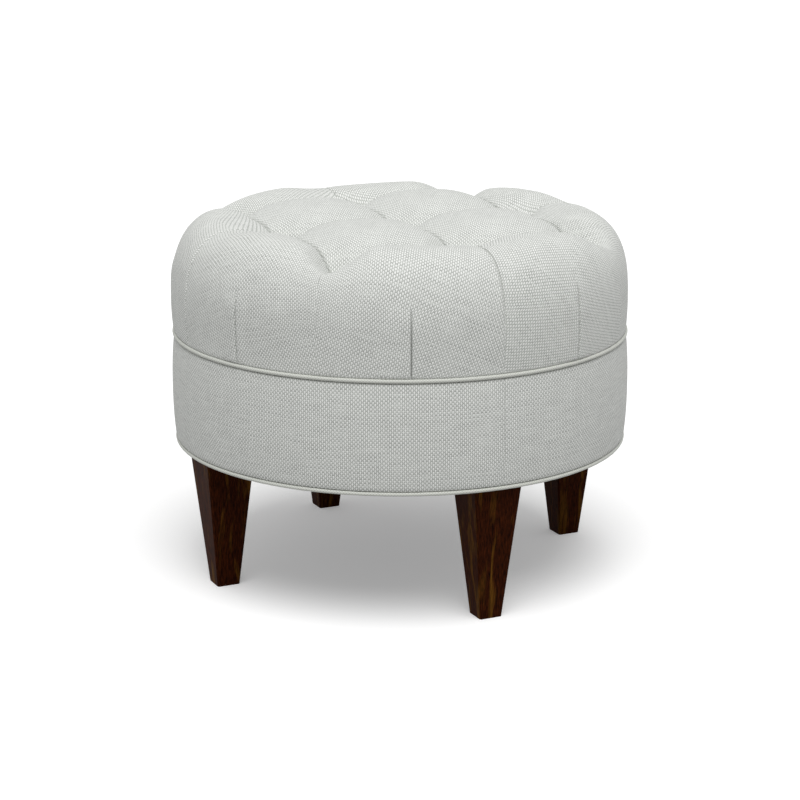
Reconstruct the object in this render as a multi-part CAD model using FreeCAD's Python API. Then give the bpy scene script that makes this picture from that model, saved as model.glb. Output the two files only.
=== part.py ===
import FreeCAD, Part
import math
import os

# Round tufted footstool on four tapered legs. Millimetres, +Z up, origin on the floor under the centre.
# -Y is the front. The legs stand on the X and Y axes with their faces square to them.

Vec = FreeCAD.Vector
ORIGIN = Vec(0, 0, 0)
UP = Vec(0, 0, 1)
OUT = Vec(1, 0, 0)

# legs
leg_length = 155.0
leg_top_width = 57.0
leg_foot_width = 26.6
leg_edge_bevel = 1.6

# frame under the upholstery
board_radius = 250.0
base_thickness = 18.0
deck_thickness = 15.0
frame_height = 120.0
hoop_thickness = 4.0
post_width = 38.0
post_count = 8
post_edge_distance = 5.0
block_length = 76.0
block_width = 48.0
block_thickness = 20.0
block_edge_distance = 1.6

# fasteners
bolt_width = 8.0
thread_sides = 6
bolt_depth_in_leg = 38.0
tee_nut_wall = 1.1
tee_nut_barrel_length = 12.0
tee_nut_flange_width = 22.0
tee_nut_flange_thickness = 1.5

# side band
cloth_thickness = 0.8
band_overhang = 5.5
band_bulge = 2.6
band_rise = 1.7
strip_width = 9.0
strip_thickness = 1.2
dust_cover_thickness = 0.6
dust_cover_inset = 2.0

# pipings: a cord sewn into a folded strip of cloth
welt_radius = 2.6
welt_sides = 6
lower_welt_rise = 0.8

# tufted cushion
cushion_height = 144.0
corner_tuft_distance = 53.7
ball_radius = 155.0
side_swell = 2.0
side_foot_rise = 4.8
shoulder_reach = 63.5
shoulder_drop = 96.0
rim_pleat_depth = 15.0
rim_pleat_reach = 56.5
corner_pleat_depth = 29.0
corner_pleat_reach = 35.5
bump_strips = 4
shoulder_rings = 5
cover_thickness = 1.5
cover_hem_length = 18.0
foam_edge_distance = 10.0
wadding_thickness = 10.9

# tufting ties
twine_width = 2.4
knot_width = 6.0
knot_height = 3.0
washer_width = 24.0
washer_thickness = 2.5

# clearances
glue_gap = 0.1
thread_gap = 0.1
twine_gap = 0.3
cloth_gap = 0.2
welt_seam_gap = 0.5

# levels and radii worked out from the sizes above
base_bottom = leg_length
base_top = base_bottom + base_thickness
frame_top = base_bottom + frame_height
deck_bottom = frame_top - deck_thickness
leg_circle_radius = board_radius - leg_top_width / 2
block_top = base_top + block_thickness
block_corner_radius = board_radius - block_edge_distance
block_circle_radius = math.sqrt(block_corner_radius ** 2 - (block_length / 2) ** 2) - block_width / 2
post_circle_radius = board_radius - post_edge_distance - post_width / 2
bolt_top = block_top + tee_nut_flange_thickness
bolt_hole_width = bolt_width + 2 * thread_gap
tee_nut_barrel_width = bolt_hole_width + 2 * tee_nut_wall
hoop_inner_radius = board_radius + glue_gap
hoop_radius = hoop_inner_radius + hoop_thickness
hem_radius = hoop_radius + cloth_gap + cover_thickness
hem_bottom = frame_top - cover_hem_length
band_radius = hoop_radius + band_overhang
band_top = frame_top + band_rise
band_tail_radius = hoop_radius + glue_gap + cloth_thickness
lower_welt_circle_radius = band_tail_radius + glue_gap + welt_radius
lower_welt_z = base_bottom + lower_welt_rise
band_bottom = lower_welt_z + welt_radius + cloth_gap
cushion_base = band_top + cloth_gap
cushion_top = cushion_base + cushion_height
upper_welt_circle_radius = hem_radius + welt_seam_gap + welt_radius
upper_welt_z = cushion_base + welt_radius
side_radius = band_radius + side_swell
side_foot_z = upper_welt_z + welt_radius + side_foot_rise
tuft_spacing = (side_radius - corner_tuft_distance) / math.sqrt(2)
ball_centre_z = cushion_top - ball_radius
shoulder_centre_z = cushion_top - shoulder_drop
tuft_z = ball_centre_z + math.sqrt(ball_radius ** 2 - tuft_spacing ** 2 / 2)
foam_top = tuft_z - wadding_thickness
foam_radius = board_radius - foam_edge_distance


def at(radius, angle, z):
    """A point at a distance from the stool's axis, in a direction in degrees, at a height."""
    turn = math.radians(angle)
    return Vec(radius * math.cos(turn), radius * math.sin(turn), z)


def disc(radius, bottom, top, x=0.0, y=0.0):
    return Part.makeCylinder(radius, top - bottom, Vec(x, y, bottom), UP)


def many_sided(width, sides, bottom, top, x=0.0, y=0.0):
    """An upright prism with equal sides, as wide as given from corner to corner."""
    corners = []
    for side in range(sides + 1):
        corner = at(width / 2, 360.0 * side / sides, bottom)
        corners.append(corner + Vec(x, y, 0))
    return Part.Face(Part.makePolygon(corners)).extrude(UP * (top - bottom))


def ring(inner_radius, outer_radius, bottom, top):
    return disc(outer_radius, bottom, top).cut(disc(inner_radius, bottom, top))


def turned(edges):
    """The solid swept once round the stool's axis by a closed profile in the XZ plane."""
    profile = Part.Face(Part.Wire(Part.sortEdges(edges)[0]))
    return profile.revolve(ORIGIN, UP, 360)


def lines(corners):
    """Straight edges through (radius, height) corners, closed back to the first."""
    points = [Vec(r, 0, z) for r, z in corners]
    following = points[1:] + points[:1]
    return [Part.makeLine(a, b) for a, b in zip(points, following)]


def quarter_turns(shape):
    """The shape and its three copies round the axis: left, front, right, back."""
    return [turned_copy(shape, angle) for angle in (180, 270, 0, 90)]


def turned_copy(shape, angle):
    copy = shape.copy()
    copy.rotate(ORIGIN, UP, angle)
    return copy


def bevelled_square(width, z):
    """The corners of a horizontal square with bevelled corners, on the leg's own axis."""
    half = width / 2
    cut = half - leg_edge_bevel
    corners = []
    for turn in range(4):
        corner = [Vec(half, -cut, z), Vec(half, cut, z)]
        corners += [FreeCAD.Rotation(UP, 90 * turn).multVec(point) for point in corner]
    return corners


def make_leg():
    """One square tapered leg, drilled from the top for the hanger bolt."""
    foot = bevelled_square(leg_foot_width, 0)
    top = bevelled_square(leg_top_width, leg_length)
    sides = []
    for index in range(len(foot)):
        following = (index + 1) % len(foot)
        corners = [foot[index], foot[following], top[following], top[index], foot[index]]
        sides.append(Part.Face(Part.makePolygon(corners)))
    ends = [Part.Face(Part.makePolygon(outline + outline[:1])) for outline in (foot, top)]
    leg = Part.Solid(Part.makeShell(sides + ends))
    hole_bottom = leg_length - bolt_depth_in_leg - thread_gap
    leg = leg.cut(many_sided(bolt_hole_width, thread_sides, hole_bottom, leg_length))
    leg.translate(OUT * leg_circle_radius)
    return leg


def make_leg_notch():
    """The room a leg's top takes in the dust cover."""
    width = leg_top_width + 2 * cloth_gap
    corner = Vec(leg_circle_radius - width / 2, -width / 2, 0)
    return Part.makeBox(width, width, base_bottom, corner)


def make_block():
    """The block that thickens the base board over a leg, drilled for the tee nut's barrel."""
    corner = Vec(block_circle_radius - block_width / 2, -block_length / 2, base_top)
    block = Part.makeBox(block_width, block_length, block_thickness, corner)
    return block.cut(tee_nut_hole(base_top, block_top))


def tee_nut_hole(bottom, top):
    width = tee_nut_barrel_width + 2 * glue_gap
    return many_sided(width, thread_sides, bottom, top, leg_circle_radius)


def make_hanger_bolt():
    """The bolt between leg and tee nut, its thread left as flats."""
    bottom = leg_length - bolt_depth_in_leg
    return many_sided(bolt_width, thread_sides, bottom, bolt_top, leg_circle_radius)


def make_tee_nut():
    flange = many_sided(tee_nut_flange_width, 6, block_top, bolt_top, leg_circle_radius)
    bottom = block_top - tee_nut_barrel_length
    barrel = many_sided(tee_nut_barrel_width, thread_sides, bottom, block_top, leg_circle_radius)
    bore = many_sided(bolt_hole_width, thread_sides, bottom, bolt_top, leg_circle_radius)
    return flange.fuse(barrel).cut(bore).removeSplitter()


def post_angles():
    step = 360.0 / post_count
    return [step * (index + 0.5) for index in range(post_count)]


def make_post():
    corner = Vec(post_circle_radius - post_width / 2, -post_width / 2, base_top)
    return Part.makeBox(post_width, post_width, deck_bottom - base_top, corner)


def tuft_places():
    """The three by three grid of tufts."""
    steps = (-tuft_spacing, 0.0, tuft_spacing)
    return [(x, y) for y in steps for x in steps]


def make_base_board():
    board = disc(board_radius, base_bottom, base_top)
    return board.cut(quarter_turns(tee_nut_hole(base_bottom, base_top)))


def twine_channels(bottom, top):
    """The room the nine twines need between two levels."""
    width = twine_width + 2 * twine_gap
    return [many_sided(width, 6, bottom, top, x, y) for x, y in tuft_places()]


def make_top_deck():
    return disc(board_radius, deck_bottom, frame_top).cut(twine_channels(deck_bottom, frame_top))


def make_band_cover():
    """The side cloth: bulged in the middle, drawn in behind the lower piping to the frame's bottom edge."""
    inner = band_radius - cloth_thickness
    tail = band_tail_radius - cloth_thickness
    middle = (band_top + band_bottom) / 2
    corners = [
        (inner, band_top),
        (band_radius, band_top),
        (band_radius + band_bulge, middle),
        (band_radius, band_bottom),
        (band_tail_radius, band_bottom),
        (band_tail_radius, base_bottom),
        (tail, base_bottom),
        (tail, band_bottom + cloth_thickness),
        (inner, band_bottom + cloth_thickness),
    ]
    return turned(lines(corners))


def make_band_padding():
    """Wadding behind the side cloth, from the lower piping up to the cushion cover's hem."""
    inner = hoop_radius + cloth_gap
    outer = band_radius - cloth_thickness - cloth_gap
    return ring(inner, outer, band_bottom + cloth_thickness + cloth_gap, hem_bottom - cloth_gap)


def make_tack_strip():
    """The card strip over the cushion cover's hem that the side cloth is pulled tight against."""
    inner = hem_radius + cloth_gap
    return ring(inner, inner + strip_thickness, band_top - strip_width, band_top)


def make_welt(circle_radius, z):
    """A piping as a ring with a many-sided section."""
    corners = []
    for side in range(welt_sides):
        turn = math.radians(360.0 / welt_sides * (side + 0.5))
        radius = circle_radius + welt_radius * math.cos(turn)
        corners.append((radius, z + welt_radius * math.sin(turn)))
    return turned(lines(corners))


def make_dust_cover():
    """Thin cloth stapled under the base board, cut out round the legs."""
    sheet = disc(board_radius - dust_cover_inset, base_bottom - dust_cover_thickness, base_bottom)
    return sheet.cut(quarter_turns(make_leg_notch()))


def bump_level(place):
    """Height over a place inside the tuft grid, where each bump is part of a ball."""
    half = tuft_spacing / 2
    off_x = abs(place.x) - half
    off_y = abs(place.y) - half
    return ball_centre_z + math.sqrt(ball_radius ** 2 - off_x ** 2 - off_y ** 2)


def on_bumps(place):
    return Vec(place.x, place.y, bump_level(place))


def tuft_ring():
    """The eight outer tufts, and the places half way between them where the pleat is highest."""
    starts = []
    for sector in range(8):
        radius = tuft_spacing if sector % 2 == 0 else tuft_spacing * math.sqrt(2)
        starts.append(at(radius, 45.0 * sector, 0))
    middles = [(starts[k] + starts[(k + 1) % 8]) / 2 for k in range(8)]
    return [on_bumps(place) for place in starts], [on_bumps(place) for place in middles]


def pleat_point(sector, slope):
    """A point on the radial pleat that starts a sector, at a slope angle from 90 on top to 0 on the side."""
    side_pleat = sector % 2 == 0
    reach = rim_pleat_reach if side_pleat else corner_pleat_reach
    depth = rim_pleat_depth if side_pleat else corner_pleat_depth
    turn = math.radians(slope)
    radius = side_radius - reach + reach * math.cos(turn)
    z = shoulder_centre_z + (shoulder_drop - depth) * math.sin(turn)
    return at(radius, 45.0 * sector, z)


def rim_bump_point(sector, slope):
    """A point on the middle of a rim bump, at a slope angle from 90 on top to 0 on the side."""
    turn = math.radians(slope)
    radius = side_radius - shoulder_reach + shoulder_reach * math.cos(turn)
    z = shoulder_centre_z + shoulder_drop * math.sin(turn)
    return at(radius, rim_bump_angle(sector, slope / 90.0), z)


def rim_bump_angle(sector, share):
    """Direction of a rim bump's middle: half way round its sector at the side, nearer the side tuft on top."""
    lean = math.degrees(math.atan(0.5)) - 22.5
    if sector % 2 == 1:
        lean = -lean
    return 45.0 * sector + 22.5 + lean * share ** 2


def shoulder_ring(slope):
    starts = [pleat_point(sector, slope) for sector in range(8)]
    middles = [rim_bump_point(sector, slope) for sector in range(8)]
    return starts, middles


def rising_ring(low, high):
    """The ring half way from a low ring to a high one, on a curve that levels out at the high one."""
    halves = []
    for low_points, high_points in zip(low, high):
        points = [(a + b) / 2 for a, b in zip(low_points, high_points)]
        for point, a, b in zip(points, low_points, high_points):
            point.z = b.z - (b.z - a.z) / 4
        halves.append(points)
    return tuple(halves)


def round_ring(radius, z):
    starts = [at(radius, 45.0 * sector, z) for sector in range(8)]
    middles = [at(radius, 45.0 * sector + 22.5, z) for sector in range(8)]
    return starts, middles


def ring_wire(ring_points):
    """A closed wire of eight arcs through the pleats and over the middles of the bumps."""
    starts, middles = ring_points
    arcs = []
    for sector in range(8):
        arc = Part.Arc(starts[sector], middles[sector], starts[(sector + 1) % 8])
        arcs.append(arc.toShape())
    return Part.Wire(arcs)


def make_inner_bumps():
    """The four bumps inside the tuft grid: one loft through upright sections with two arcs on top."""
    sections = []
    for index in range(-bump_strips, bump_strips + 1):
        y = tuft_spacing * index / bump_strips
        tops = [on_bumps(Vec(tuft_spacing * half / 2, y, 0)) for half in (-2, -1, 0, 1, 2)]
        left = Vec(-tuft_spacing, y, side_foot_z)
        right = Vec(tuft_spacing, y, side_foot_z)
        edges = [Part.Arc(*tops[:3]).toShape(), Part.Arc(*tops[2:]).toShape()]
        edges += [Part.makeLine(tops[-1], right), Part.makeLine(right, left), Part.makeLine(left, tops[0])]
        sections.append(Part.Wire(edges))
    return Part.makeLoft(sections, True, True)


def make_rim_bumps():
    """The eight rim bumps and the side: one loft through rings of eight arcs.

    It rises from a point low in the middle to the outer tufts, goes over the rim bumps, turns down the
    shoulder and draws in at the foot of the side. The square of the tuft grid is then cut out of it.
    """
    slopes = [90.0 - 90.0 * index / (shoulder_rings - 1) for index in range(shoulder_rings)]
    shoulder = [shoulder_ring(slope) for slope in slopes]
    rings = [tuft_ring(), rising_ring(tuft_ring(), shoulder[0])] + shoulder
    rings.append(round_ring(band_radius, side_foot_z))
    rings.append(round_ring(hem_radius, side_foot_z - (band_radius - hem_radius)))
    rings.append(round_ring(hem_radius, hem_bottom))
    low_point = Part.Vertex(Vec(0, 0, side_foot_z))
    rim = Part.makeLoft([low_point] + [ring_wire(ring_points) for ring_points in rings], True, True)
    corner = Vec(-tuft_spacing, -tuft_spacing, side_foot_z)
    return rim.cut(Part.makeBox(2 * tuft_spacing, 2 * tuft_spacing, cushion_height, corner))


def make_cushion():
    """The whole tufted form, down to the cover's hem."""
    return make_rim_bumps().fuse(make_inner_bumps()).removeSplitter()


def make_foam_pad():
    return disc(foam_radius, frame_top, foam_top).cut(twine_channels(frame_top, foam_top))


def make_top_cover():
    """The tufted cloth with the fibre wadding quilted to its back, over the foam and down the frame's side."""
    frame_room = disc(hoop_radius + cloth_gap, hem_bottom, frame_top)
    foam_room = disc(foam_radius + cloth_gap, frame_top, foam_top)
    return make_cushion().cut([frame_room, foam_room])


def make_twine(x, y):
    """One tie from the cover's stitched back down through foam, deck and washer to its knot."""
    washer_bottom = deck_bottom - washer_thickness
    tie = many_sided(twine_width, 6, washer_bottom, foam_top, x, y)
    knot = many_sided(knot_width, 6, washer_bottom - knot_height, washer_bottom, x, y)
    return tie.fuse(knot).removeSplitter()


def make_washer(x, y):
    """A square card washer that spreads a twine's pull under the deck."""
    bottom = deck_bottom - washer_thickness
    corner = Vec(x - washer_width / 2, y - washer_width / 2, bottom)
    card = Part.makeBox(washer_width, washer_width, washer_thickness, corner)
    return card.cut(many_sided(twine_width + 2 * twine_gap, 6, bottom, deck_bottom, x, y))


def save(node, solids):
    shape = Part.makeCompound(solids) if len(solids) > 1 else solids[0]
    shape.exportStep("parts/" + node + ".step")


def main():
    os.makedirs("parts", exist_ok=True)
    sides = ("left", "front", "right", "back")
    for side, leg, block in zip(sides, quarter_turns(make_leg()), quarter_turns(make_block())):
        save("leg_" + side, [leg])
        save("leg_block_" + side, [block])
    save("hanger_bolts", quarter_turns(make_hanger_bolt()))
    save("tee_nuts", quarter_turns(make_tee_nut()))

    save("base_board", [make_base_board()])
    save("top_deck", [make_top_deck()])
    for index, angle in enumerate(post_angles()):
        save("post_" + str(index + 1), [turned_copy(make_post(), angle)])
    save("side_hoop", [ring(hoop_inner_radius, hoop_radius, base_bottom, frame_top)])

    save("band_padding", [make_band_padding()])
    save("band_cover", [make_band_cover()])
    save("tack_strip", [make_tack_strip()])
    save("upper_welt", [make_welt(upper_welt_circle_radius, upper_welt_z)])
    save("lower_welt", [make_welt(lower_welt_circle_radius, lower_welt_z)])
    save("dust_cover", [make_dust_cover()])

    save("foam_pad", [make_foam_pad()])
    save("top_cover", [make_top_cover()])
    save("tufting_twines", [make_twine(x, y) for x, y in tuft_places()])
    save("tufting_washers", [make_washer(x, y) for x, y in tuft_places()])


main()
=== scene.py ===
import bpy
import bmesh
import math
import numpy as np
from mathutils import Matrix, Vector, noise


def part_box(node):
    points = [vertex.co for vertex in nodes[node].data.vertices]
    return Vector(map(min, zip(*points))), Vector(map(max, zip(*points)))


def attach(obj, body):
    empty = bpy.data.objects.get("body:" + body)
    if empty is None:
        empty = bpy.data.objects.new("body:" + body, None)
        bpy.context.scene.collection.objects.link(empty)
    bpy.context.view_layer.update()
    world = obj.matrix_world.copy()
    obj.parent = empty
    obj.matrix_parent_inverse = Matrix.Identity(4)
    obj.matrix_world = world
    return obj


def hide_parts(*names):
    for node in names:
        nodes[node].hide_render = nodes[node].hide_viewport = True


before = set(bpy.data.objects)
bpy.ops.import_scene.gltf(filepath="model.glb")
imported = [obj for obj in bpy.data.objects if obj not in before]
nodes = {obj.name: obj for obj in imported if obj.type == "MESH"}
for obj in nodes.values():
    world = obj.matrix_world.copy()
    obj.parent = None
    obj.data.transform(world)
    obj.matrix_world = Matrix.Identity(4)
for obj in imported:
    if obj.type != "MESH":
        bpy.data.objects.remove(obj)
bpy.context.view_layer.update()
mm = 0.001
print("frame loaded with", len(nodes), "nodes")


# shared helpers

def linearColour(hexColour):
    channels = [int(hexColour[i:i + 2], 16) / 255 for i in (1, 3, 5)]
    return [c / 12.92 if c <= 0.04045 else ((c + 0.055) / 1.055) ** 2.4 for c in channels] + [1.0]


def addNode(tree, kind, inputs=None, **settings):
    # an input is a plain value, a socket, or a node whose first output is meant
    node = tree.nodes.new(kind)
    for name, value in settings.items():
        setattr(node, name, value)
    for key, value in (inputs or {}).items():
        if isinstance(value, bpy.types.Node):
            value = value.outputs[0]
        if isinstance(value, bpy.types.NodeSocket):
            tree.links.new(value, node.inputs[key])
        else:
            node.inputs[key].default_value = value
    return node


def newMaterial(name):
    material = bpy.data.materials.new(name)
    material.use_nodes = True
    material.node_tree.nodes.clear()
    return material, material.node_tree


def finishMaterial(tree, colour, finish, relief=None):
    # how every material ends; relief is a height, its strength and its depth
    inputs = {"Base Color": colour, **finish}
    if relief:
        height, strength, depth = relief
        inputs["Normal"] = addNode(tree, "ShaderNodeBump", {"Strength": strength, "Distance": depth,
                                                            "Height": height})
    shader = addNode(tree, "ShaderNodeBsdfPrincipled", inputs)
    addNode(tree, "ShaderNodeOutputMaterial", {0: shader})


def addObject(name, data):
    made = bpy.data.objects.new(name, data)
    bpy.context.scene.collection.objects.link(made)
    return made


def meshFromWork(name, work):
    mesh = bpy.data.meshes.new(name)
    work.to_mesh(mesh)
    work.free()
    return mesh


def meshFromData(name, points, faces, loopUvs=None):
    mesh = bpy.data.meshes.new(name)
    mesh.from_pydata(points.tolist(), [], faces.tolist())
    if loopUvs is not None:
        layer = mesh.uv_layers.new(name="weave")
        layer.data.foreach_set("uv", loopUvs.astype(np.float32).ravel())
    return mesh


def addPiece(name, mesh, material, smooth=True):
    piece = addObject(name, mesh)
    mesh.materials.clear()
    mesh.materials.append(material)
    mesh.polygons.foreach_set("use_smooth", [smooth] * len(mesh.polygons))
    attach(piece, "root")
    return piece


def cleaned(mesh, mergeDistance=0.02 * mm):
    work = bmesh.new()
    work.from_mesh(mesh)
    bmesh.ops.remove_doubles(work, verts=work.verts, dist=mergeDistance)
    bmesh.ops.dissolve_degenerate(work, edges=work.edges, dist=mergeDistance / 2)
    bmesh.ops.recalc_face_normals(work, faces=work.faces)
    work.to_mesh(mesh)
    work.free()
    return mesh


def roundPoints(radius, angle, z):
    # points at these distances, turns and heights about the stool's axis
    return np.stack([radius * np.cos(angle), radius * np.sin(angle), z + np.zeros_like(angle)], axis=-1)


def smoothStep(share):
    return share * share * (3 - 2 * share)


# materials

clothSettings = {
    "threadPitch": 2.26 * mm,         # eleven threads to the inch
    "warp": "#eaebe8",
    "weft": "#bdc0bb",
    # painted shade, for the gaps between the threads
    "paintedGapShade": "#8a8d88",
    "warpVariation": 0.06,
    "weftVariation": 0.22,            # the weft is a slub yarn, thick and thin along its length
    "slubScale": 0.93,                # from one thread to the next
    "slubDraw": 0.08,                 # and as a share of that, along a thread
    "slubRange": (0.25, 0.75),
    "wander": 0.5,                    # how far a thread strays from its row, in threads
    "wanderSize": 6.25 * mm,
    "threadHeight": 0.62,
    "threadSwing": 0.38,              # how far a thread rises and dips over its crossings
    "paintedShadeHeights": (0.13, 0.45),       # painted shade below the first height, and the yarn's own colour above the second
    "fuzz": 0.25,
    "fuzzSize": mm / 2.6,
    "bumpDepth": 0.45 * mm,
    "bumpStrength": 0.75,
    "finish": {"Roughness": 0.92, "Sheen Weight": 0.12, "Sheen Roughness": 0.5, "Specular IOR Level": 0.25},
}


def wovenCloth(name, settings):
    # plain woven upholstery cloth of slubby yarn: matt, light threads, with shade painted into the gaps at
    # every crossing
    material, tree = newMaterial(name)
    uv = addNode(tree, "ShaderNodeUVMap", uv_map="weave")
    wander = addNode(tree, "ShaderNodeTexNoise", {"Vector": uv, "Scale": 1 / settings["wanderSize"],
                                                  "Detail": 2.0})
    centred = addNode(tree, "ShaderNodeVectorMath", {0: wander.outputs["Color"], 1: (0.5, 0.5, 0.5)},
                      operation="SUBTRACT")
    threads = addNode(tree, "ShaderNodeVectorMath", {0: uv, 3: 1 / settings["threadPitch"]},
                      operation="SCALE")
    bent = addNode(tree, "ShaderNodeVectorMath", {0: centred, 1: [settings["wander"]] * 3, 2: threads},
                   operation="MULTIPLY_ADD")
    places = addNode(tree, "ShaderNodeSeparateXYZ", {0: bent}).outputs[:2]
    sines, heights, tones = [], [], []
    for place in places:
        turn = addNode(tree, "ShaderNodeMath", {0: place, 1: math.pi}, operation="MULTIPLY")
        sines.append(addNode(tree, "ShaderNodeMath", {0: turn}, operation="SINE"))
    for own, other, sign in ((0, 1, 1.0), (1, 0, -1.0)):
        number = addNode(tree, "ShaderNodeMath", {0: places[own]}, operation="FLOOR")
        numberTurn = addNode(tree, "ShaderNodeMath", {0: number, 1: math.pi}, operation="MULTIPLY")
        parity = addNode(tree, "ShaderNodeMath", {0: numberTurn}, operation="COSINE")
        swing = addNode(tree, "ShaderNodeMath", {0: parity, 1: sines[other]}, operation="MULTIPLY")
        lift = addNode(tree, "ShaderNodeMath", {0: swing, 1: settings["threadSwing"] * sign,
                                                2: settings["threadHeight"]}, operation="MULTIPLY_ADD")
        crown = addNode(tree, "ShaderNodeMath", {0: sines[own]}, operation="ABSOLUTE")
        heights.append(addNode(tree, "ShaderNodeMath", {0: crown, 1: lift}, operation="MULTIPLY"))
        along = addNode(tree, "ShaderNodeMath", {0: places[other], 1: settings["slubDraw"]},
                        operation="MULTIPLY")
        # a layer of noise for the warp and another for the weft
        place = addNode(tree, "ShaderNodeCombineXYZ", {0: number, 1: along, 2: 3.7 * (own + 1)})
        slub = addNode(tree, "ShaderNodeTexNoise", {"Vector": place, "Scale": settings["slubScale"],
                                                    "Detail": 2.0})
        spread = settings["warpVariation" if own == 0 else "weftVariation"]
        low, high = settings["slubRange"]
        tones.append(addNode(tree, "ShaderNodeMapRange", {0: slub, 1: low, 2: high, 3: 1 - spread,
                                                          4: 1 + spread}))
    top = addNode(tree, "ShaderNodeMath", {0: heights[0], 1: heights[1]}, operation="MAXIMUM")
    warpOver = addNode(tree, "ShaderNodeMath", {0: heights[0], 1: heights[1]}, operation="GREATER_THAN")
    yarn = addNode(tree, "ShaderNodeMix", {0: warpOver, 6: linearColour(settings["weft"]),
                                           7: linearColour(settings["warp"])}, data_type="RGBA")
    tone = addNode(tree, "ShaderNodeMix", {0: warpOver, 2: tones[1], 3: tones[0]}, data_type="FLOAT")
    toned = addNode(tree, "ShaderNodeVectorMath", {0: yarn.outputs[2], 3: tone}, operation="SCALE")
    # where the threads lie low between their crossings, their colour goes over to a painted shade
    low, high = settings["paintedShadeHeights"]
    openness = addNode(tree, "ShaderNodeMapRange", {0: top, 1: low, 2: high, 3: 0.0, 4: 1.0})
    colour = addNode(tree, "ShaderNodeMix", {0: openness, 6: linearColour(settings["paintedGapShade"]), 7: toned},
                     data_type="RGBA")
    fuzz = addNode(tree, "ShaderNodeTexNoise", {"Vector": uv, "Scale": 1 / settings["fuzzSize"],
                                                "Detail": 1.0})
    relief = addNode(tree, "ShaderNodeMath", {0: fuzz, 1: settings["fuzz"], 2: top},
                     operation="MULTIPLY_ADD")
    finishMaterial(tree, colour.outputs[2], settings["finish"],
                   (relief, settings["bumpStrength"], settings["bumpDepth"]))
    return material


stainedWoodSettings = {
    "dark": "#0f0301",
    "brown": "#421c09",
    "amber": "#8a6020",
    "fibreWidth": 0.9 * mm,
    "fibreDraw": 0.014,               # fibres run up the leg, and are some seventy times as long as wide
    "stainSteps": (0.36, 0.68),       # where the stain is dark, and where it is brown
    "streakWidth": 13.0 * mm,
    "streakDraw": 0.09,
    "streakPlace": (0.31, 0.17, 0.05),
    "streakSteps": (0.55, 0.78),      # where it begins to be wiped thin, and where it is thinnest
    "bumpStrength": 0.25,
    "bumpDepth": 0.12 * mm,
    "finish": {"Roughness": 0.55, "Specular IOR Level": 0.02},
}


def stainedWood(name, settings):
    # hardwood with an espresso wipe-on stain under satin lacquer: near black, and amber where wiped thin
    material, tree = newMaterial(name)
    place = addNode(tree, "ShaderNodeTexCoord").outputs["Object"]
    fine = addNode(tree, "ShaderNodeMapping", {0: place, 3: (1.0, 1.0, settings["fibreDraw"])})
    fibres = addNode(tree, "ShaderNodeTexNoise", {"Vector": fine, "Scale": 1 / settings["fibreWidth"],
                                                  "Detail": 4.0, "Roughness": 0.6})
    broad = addNode(tree, "ShaderNodeMapping", {0: place, 1: settings["streakPlace"],
                                                3: (1.0, 1.0, settings["streakDraw"])})
    clouds = addNode(tree, "ShaderNodeTexNoise", {"Vector": broad, "Scale": 1 / settings["streakWidth"],
                                                  "Detail": 3.0, "Distortion": 1.1})
    base = addNode(tree, "ShaderNodeValToRGB", {0: fibres})
    for element, step, tone in zip(base.color_ramp.elements, settings["stainSteps"], ("dark", "brown")):
        element.position = step
        element.color = linearColour(settings[tone])
    low, high = settings["streakSteps"]
    thin = addNode(tree, "ShaderNodeMapRange", {0: clouds, 1: low, 2: high, 3: 0.0, 4: 1.0})
    veil = addNode(tree, "ShaderNodeMath", {0: thin, 1: fibres}, operation="MULTIPLY")
    colour = addNode(tree, "ShaderNodeMix", {0: veil, 6: base, 7: linearColour(settings["amber"])},
                     data_type="RGBA")
    finishMaterial(tree, colour.outputs[2], settings["finish"],
                   (fibres, settings["bumpStrength"], settings["bumpDepth"]))
    return material


upholsteryCloth = wovenCloth("wovenUpholsteryCloth", clothSettings)
print("main materials made")


# tufted top

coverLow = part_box("top_cover")[0]
foamLow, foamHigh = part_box("foam_pad")
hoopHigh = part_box("side_hoop")[1]
bandLow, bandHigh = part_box("band_cover")
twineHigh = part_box("tufting_twines")[1]

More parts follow.
